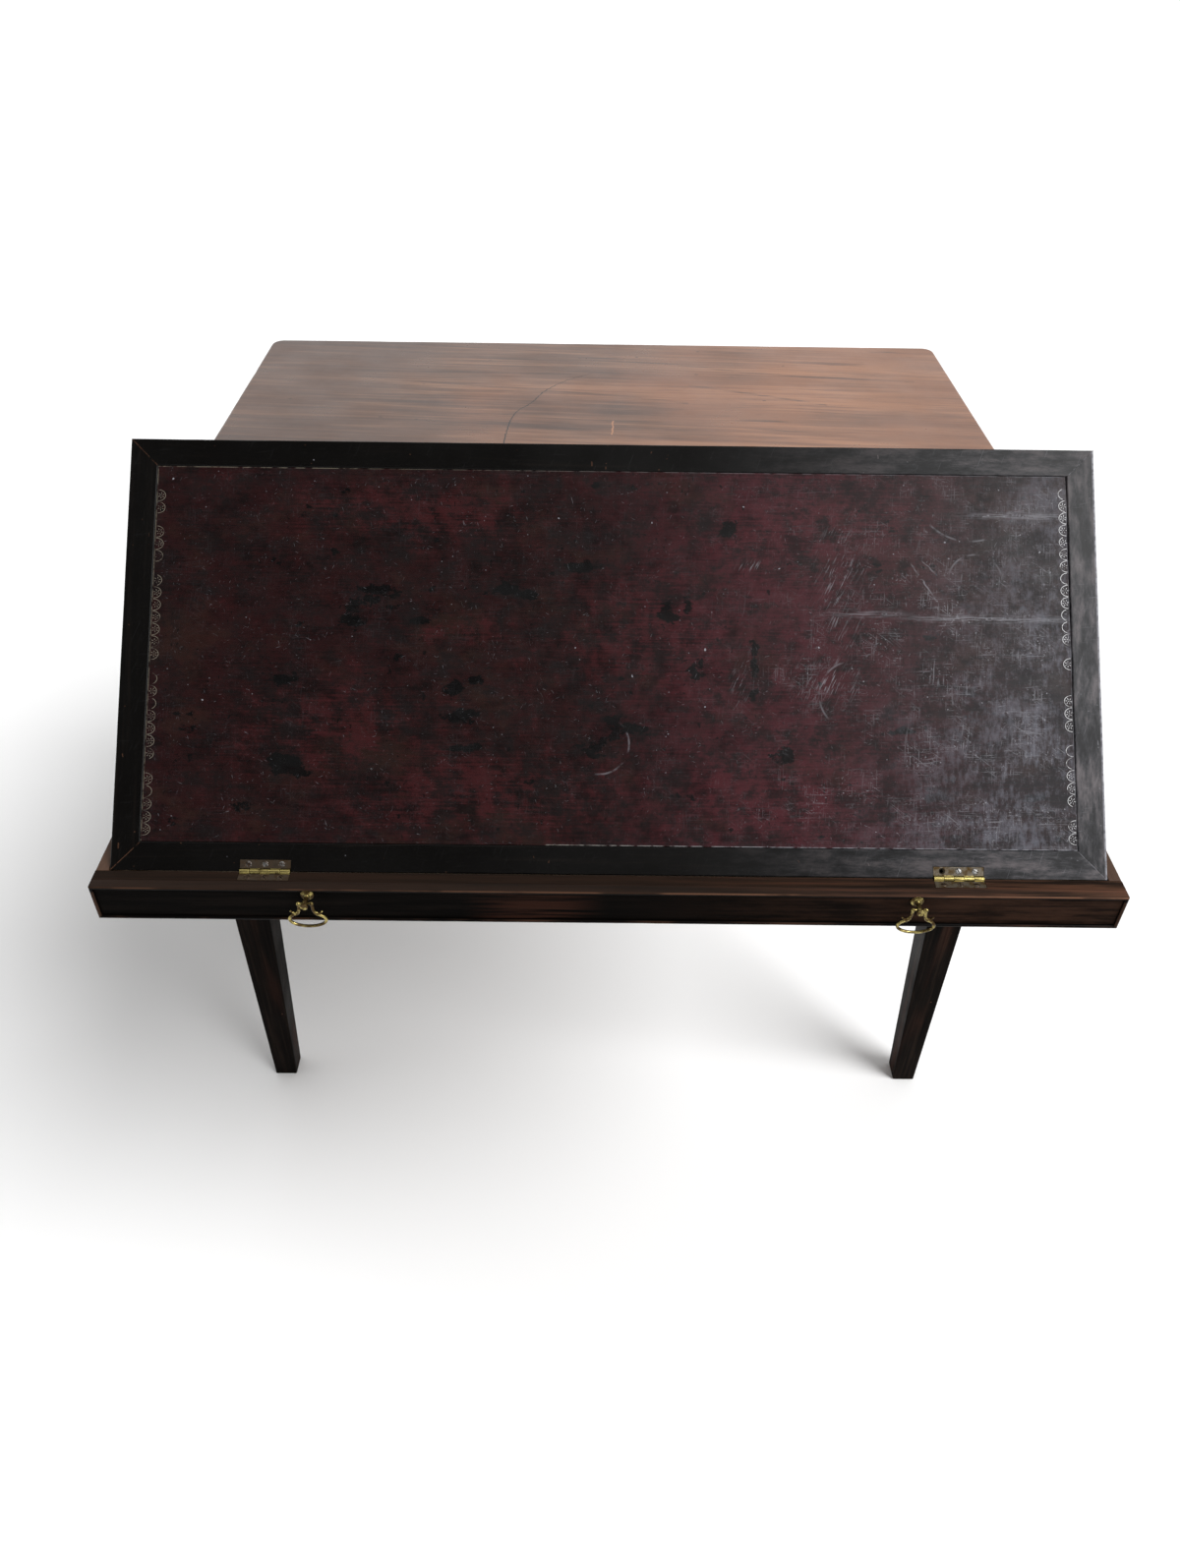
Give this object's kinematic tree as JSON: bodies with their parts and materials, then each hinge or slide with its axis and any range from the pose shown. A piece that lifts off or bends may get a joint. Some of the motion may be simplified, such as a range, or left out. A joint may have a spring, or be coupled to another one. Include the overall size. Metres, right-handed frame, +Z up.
{
  "type": "architect's desk",
  "caption": "Mahogany architect's desk: a table on tapering legs whose shallow frieze drawer carries a hinged leather-lined writing slope on a folding prop, with brass drop handles.",
  "frame": {"origin": "on the floor, under the middle of the box that holds the whole desk with its drawer out and its slope raised", "axes": "+X to the sitter's right, +Y from the sitter to the back of the desk, +Z up"},
  "size_m": [0.914, 1.0326, 0.9732],
  "materials": {
    "mahogany_top": "worn satin polish, brown mahogany",
    "mahogany_dark": "old dark polish, nearly black mahogany",
    "oak_lining": "bare planed oak, darkened by age",
    "oxblood_leather": "worn waxed hide with a tooled border",
    "aged_brass": "aged polished brass",
    "tarnished_brass": "dull tarnished brass",
    "screw_steel": "bare steel, slightly rusted"
  },
  "bodies": {
    "carcass": {"table_top": "mahogany_top", "leg_front_left": "mahogany_dark", "leg_front_right": "mahogany_dark", "leg_back_left": "mahogany_dark", "leg_back_right": "mahogany_dark", "side_rail_left": "mahogany_dark", "side_rail_right": "mahogany_dark", "back_rail": "mahogany_dark", "front_top_rail": "mahogany_dark", "front_bottom_rail": "mahogany_dark", "drawer_runner_left": "oak_lining", "drawer_runner_right": "oak_lining", "drawer_kicker_left": "oak_lining", "drawer_kicker_right": "oak_lining", "drawer_guide_left": "oak_lining", "drawer_guide_right": "oak_lining", "glue_strip_left": "oak_lining", "glue_strip_right": "oak_lining"},
    "drawer": {"drawer_front": "mahogany_dark", "cock_bead_top": "mahogany_dark", "cock_bead_bottom": "mahogany_dark", "cock_bead_left": "mahogany_dark", "cock_bead_right": "mahogany_dark", "drawer_side_left": "oak_lining", "drawer_side_right": "oak_lining", "drawer_back": "oak_lining", "drawer_bottom": "oak_lining", "drawer_stop_batten": "oak_lining", "slope_bearer_left": "oak_lining", "slope_bearer_right": "oak_lining", "prop_rack_left": "oak_lining", "prop_rack_right": "oak_lining", "hinge_lower_leaf_left": "tarnished_brass", "hinge_lower_leaf_right": "tarnished_brass", "hinge_pin_left": "screw_steel", "hinge_pin_right": "screw_steel", "handle_post_left": "aged_brass", "handle_post_right": "aged_brass", "handle_nut_left": "screw_steel", "handle_nut_right": "screw_steel"},
    "slope": {"slope_panel": "mahogany_dark", "slope_border_front": "mahogany_dark", "slope_border_back": "mahogany_dark", "slope_border_left": "mahogany_dark", "slope_border_right": "mahogany_dark", "leather_inset": "oxblood_leather", "hinge_upper_leaf_left": "tarnished_brass", "hinge_upper_leaf_right": "tarnished_brass", "prop_bracket_left": "tarnished_brass", "prop_bracket_right": "tarnished_brass"},
    "prop": {"prop_pivot_rail": "oak_lining", "prop_stile_left": "oak_lining", "prop_stile_right": "oak_lining", "prop_foot_bar": "oak_lining", "prop_pivot_pin_left": "screw_steel", "prop_pivot_pin_right": "screw_steel"},
    "bail_left": {"bail_left": "aged_brass"},
    "bail_right": {"bail_right": "aged_brass"}
  },
  "joints": [
    {"name": "drawer_slide", "type": "slide", "parent": "carcass", "child": "drawer", "axis": [0, 1, 0], "range_m": [0, 0.13]},
    {"name": "slope_tilt", "type": "hinge", "parent": "drawer", "child": "slope", "pos_m": [0, -0.48565, 0.738], "axis": [1, 0, 0], "range_deg": [-44.5, 15.5]},
    {"name": "prop_fold", "type": "hinge", "parent": "slope", "child": "prop", "pos_m": [0, -0.3685, 0.83279], "axis": [1, 0, 0], "range_deg": [-31.5, 89.5]},
    {"name": "bail_left_swing", "type": "hinge", "parent": "drawer", "child": "bail_left", "pos_m": [-0.225, -0.51235, 0.7318], "axis": [-1, 0, 0], "range_deg": [-12, 100]},
    {"name": "bail_right_swing", "type": "hinge", "parent": "drawer", "child": "bail_right", "pos_m": [0.229, -0.51235, 0.7318], "axis": [-1, 0, 0], "range_deg": [-12, 100]}
  ],
  "couplings": [
    {"joint": "prop_fold", "follows": "slope_tilt", "ratio": -2}
  ]
}
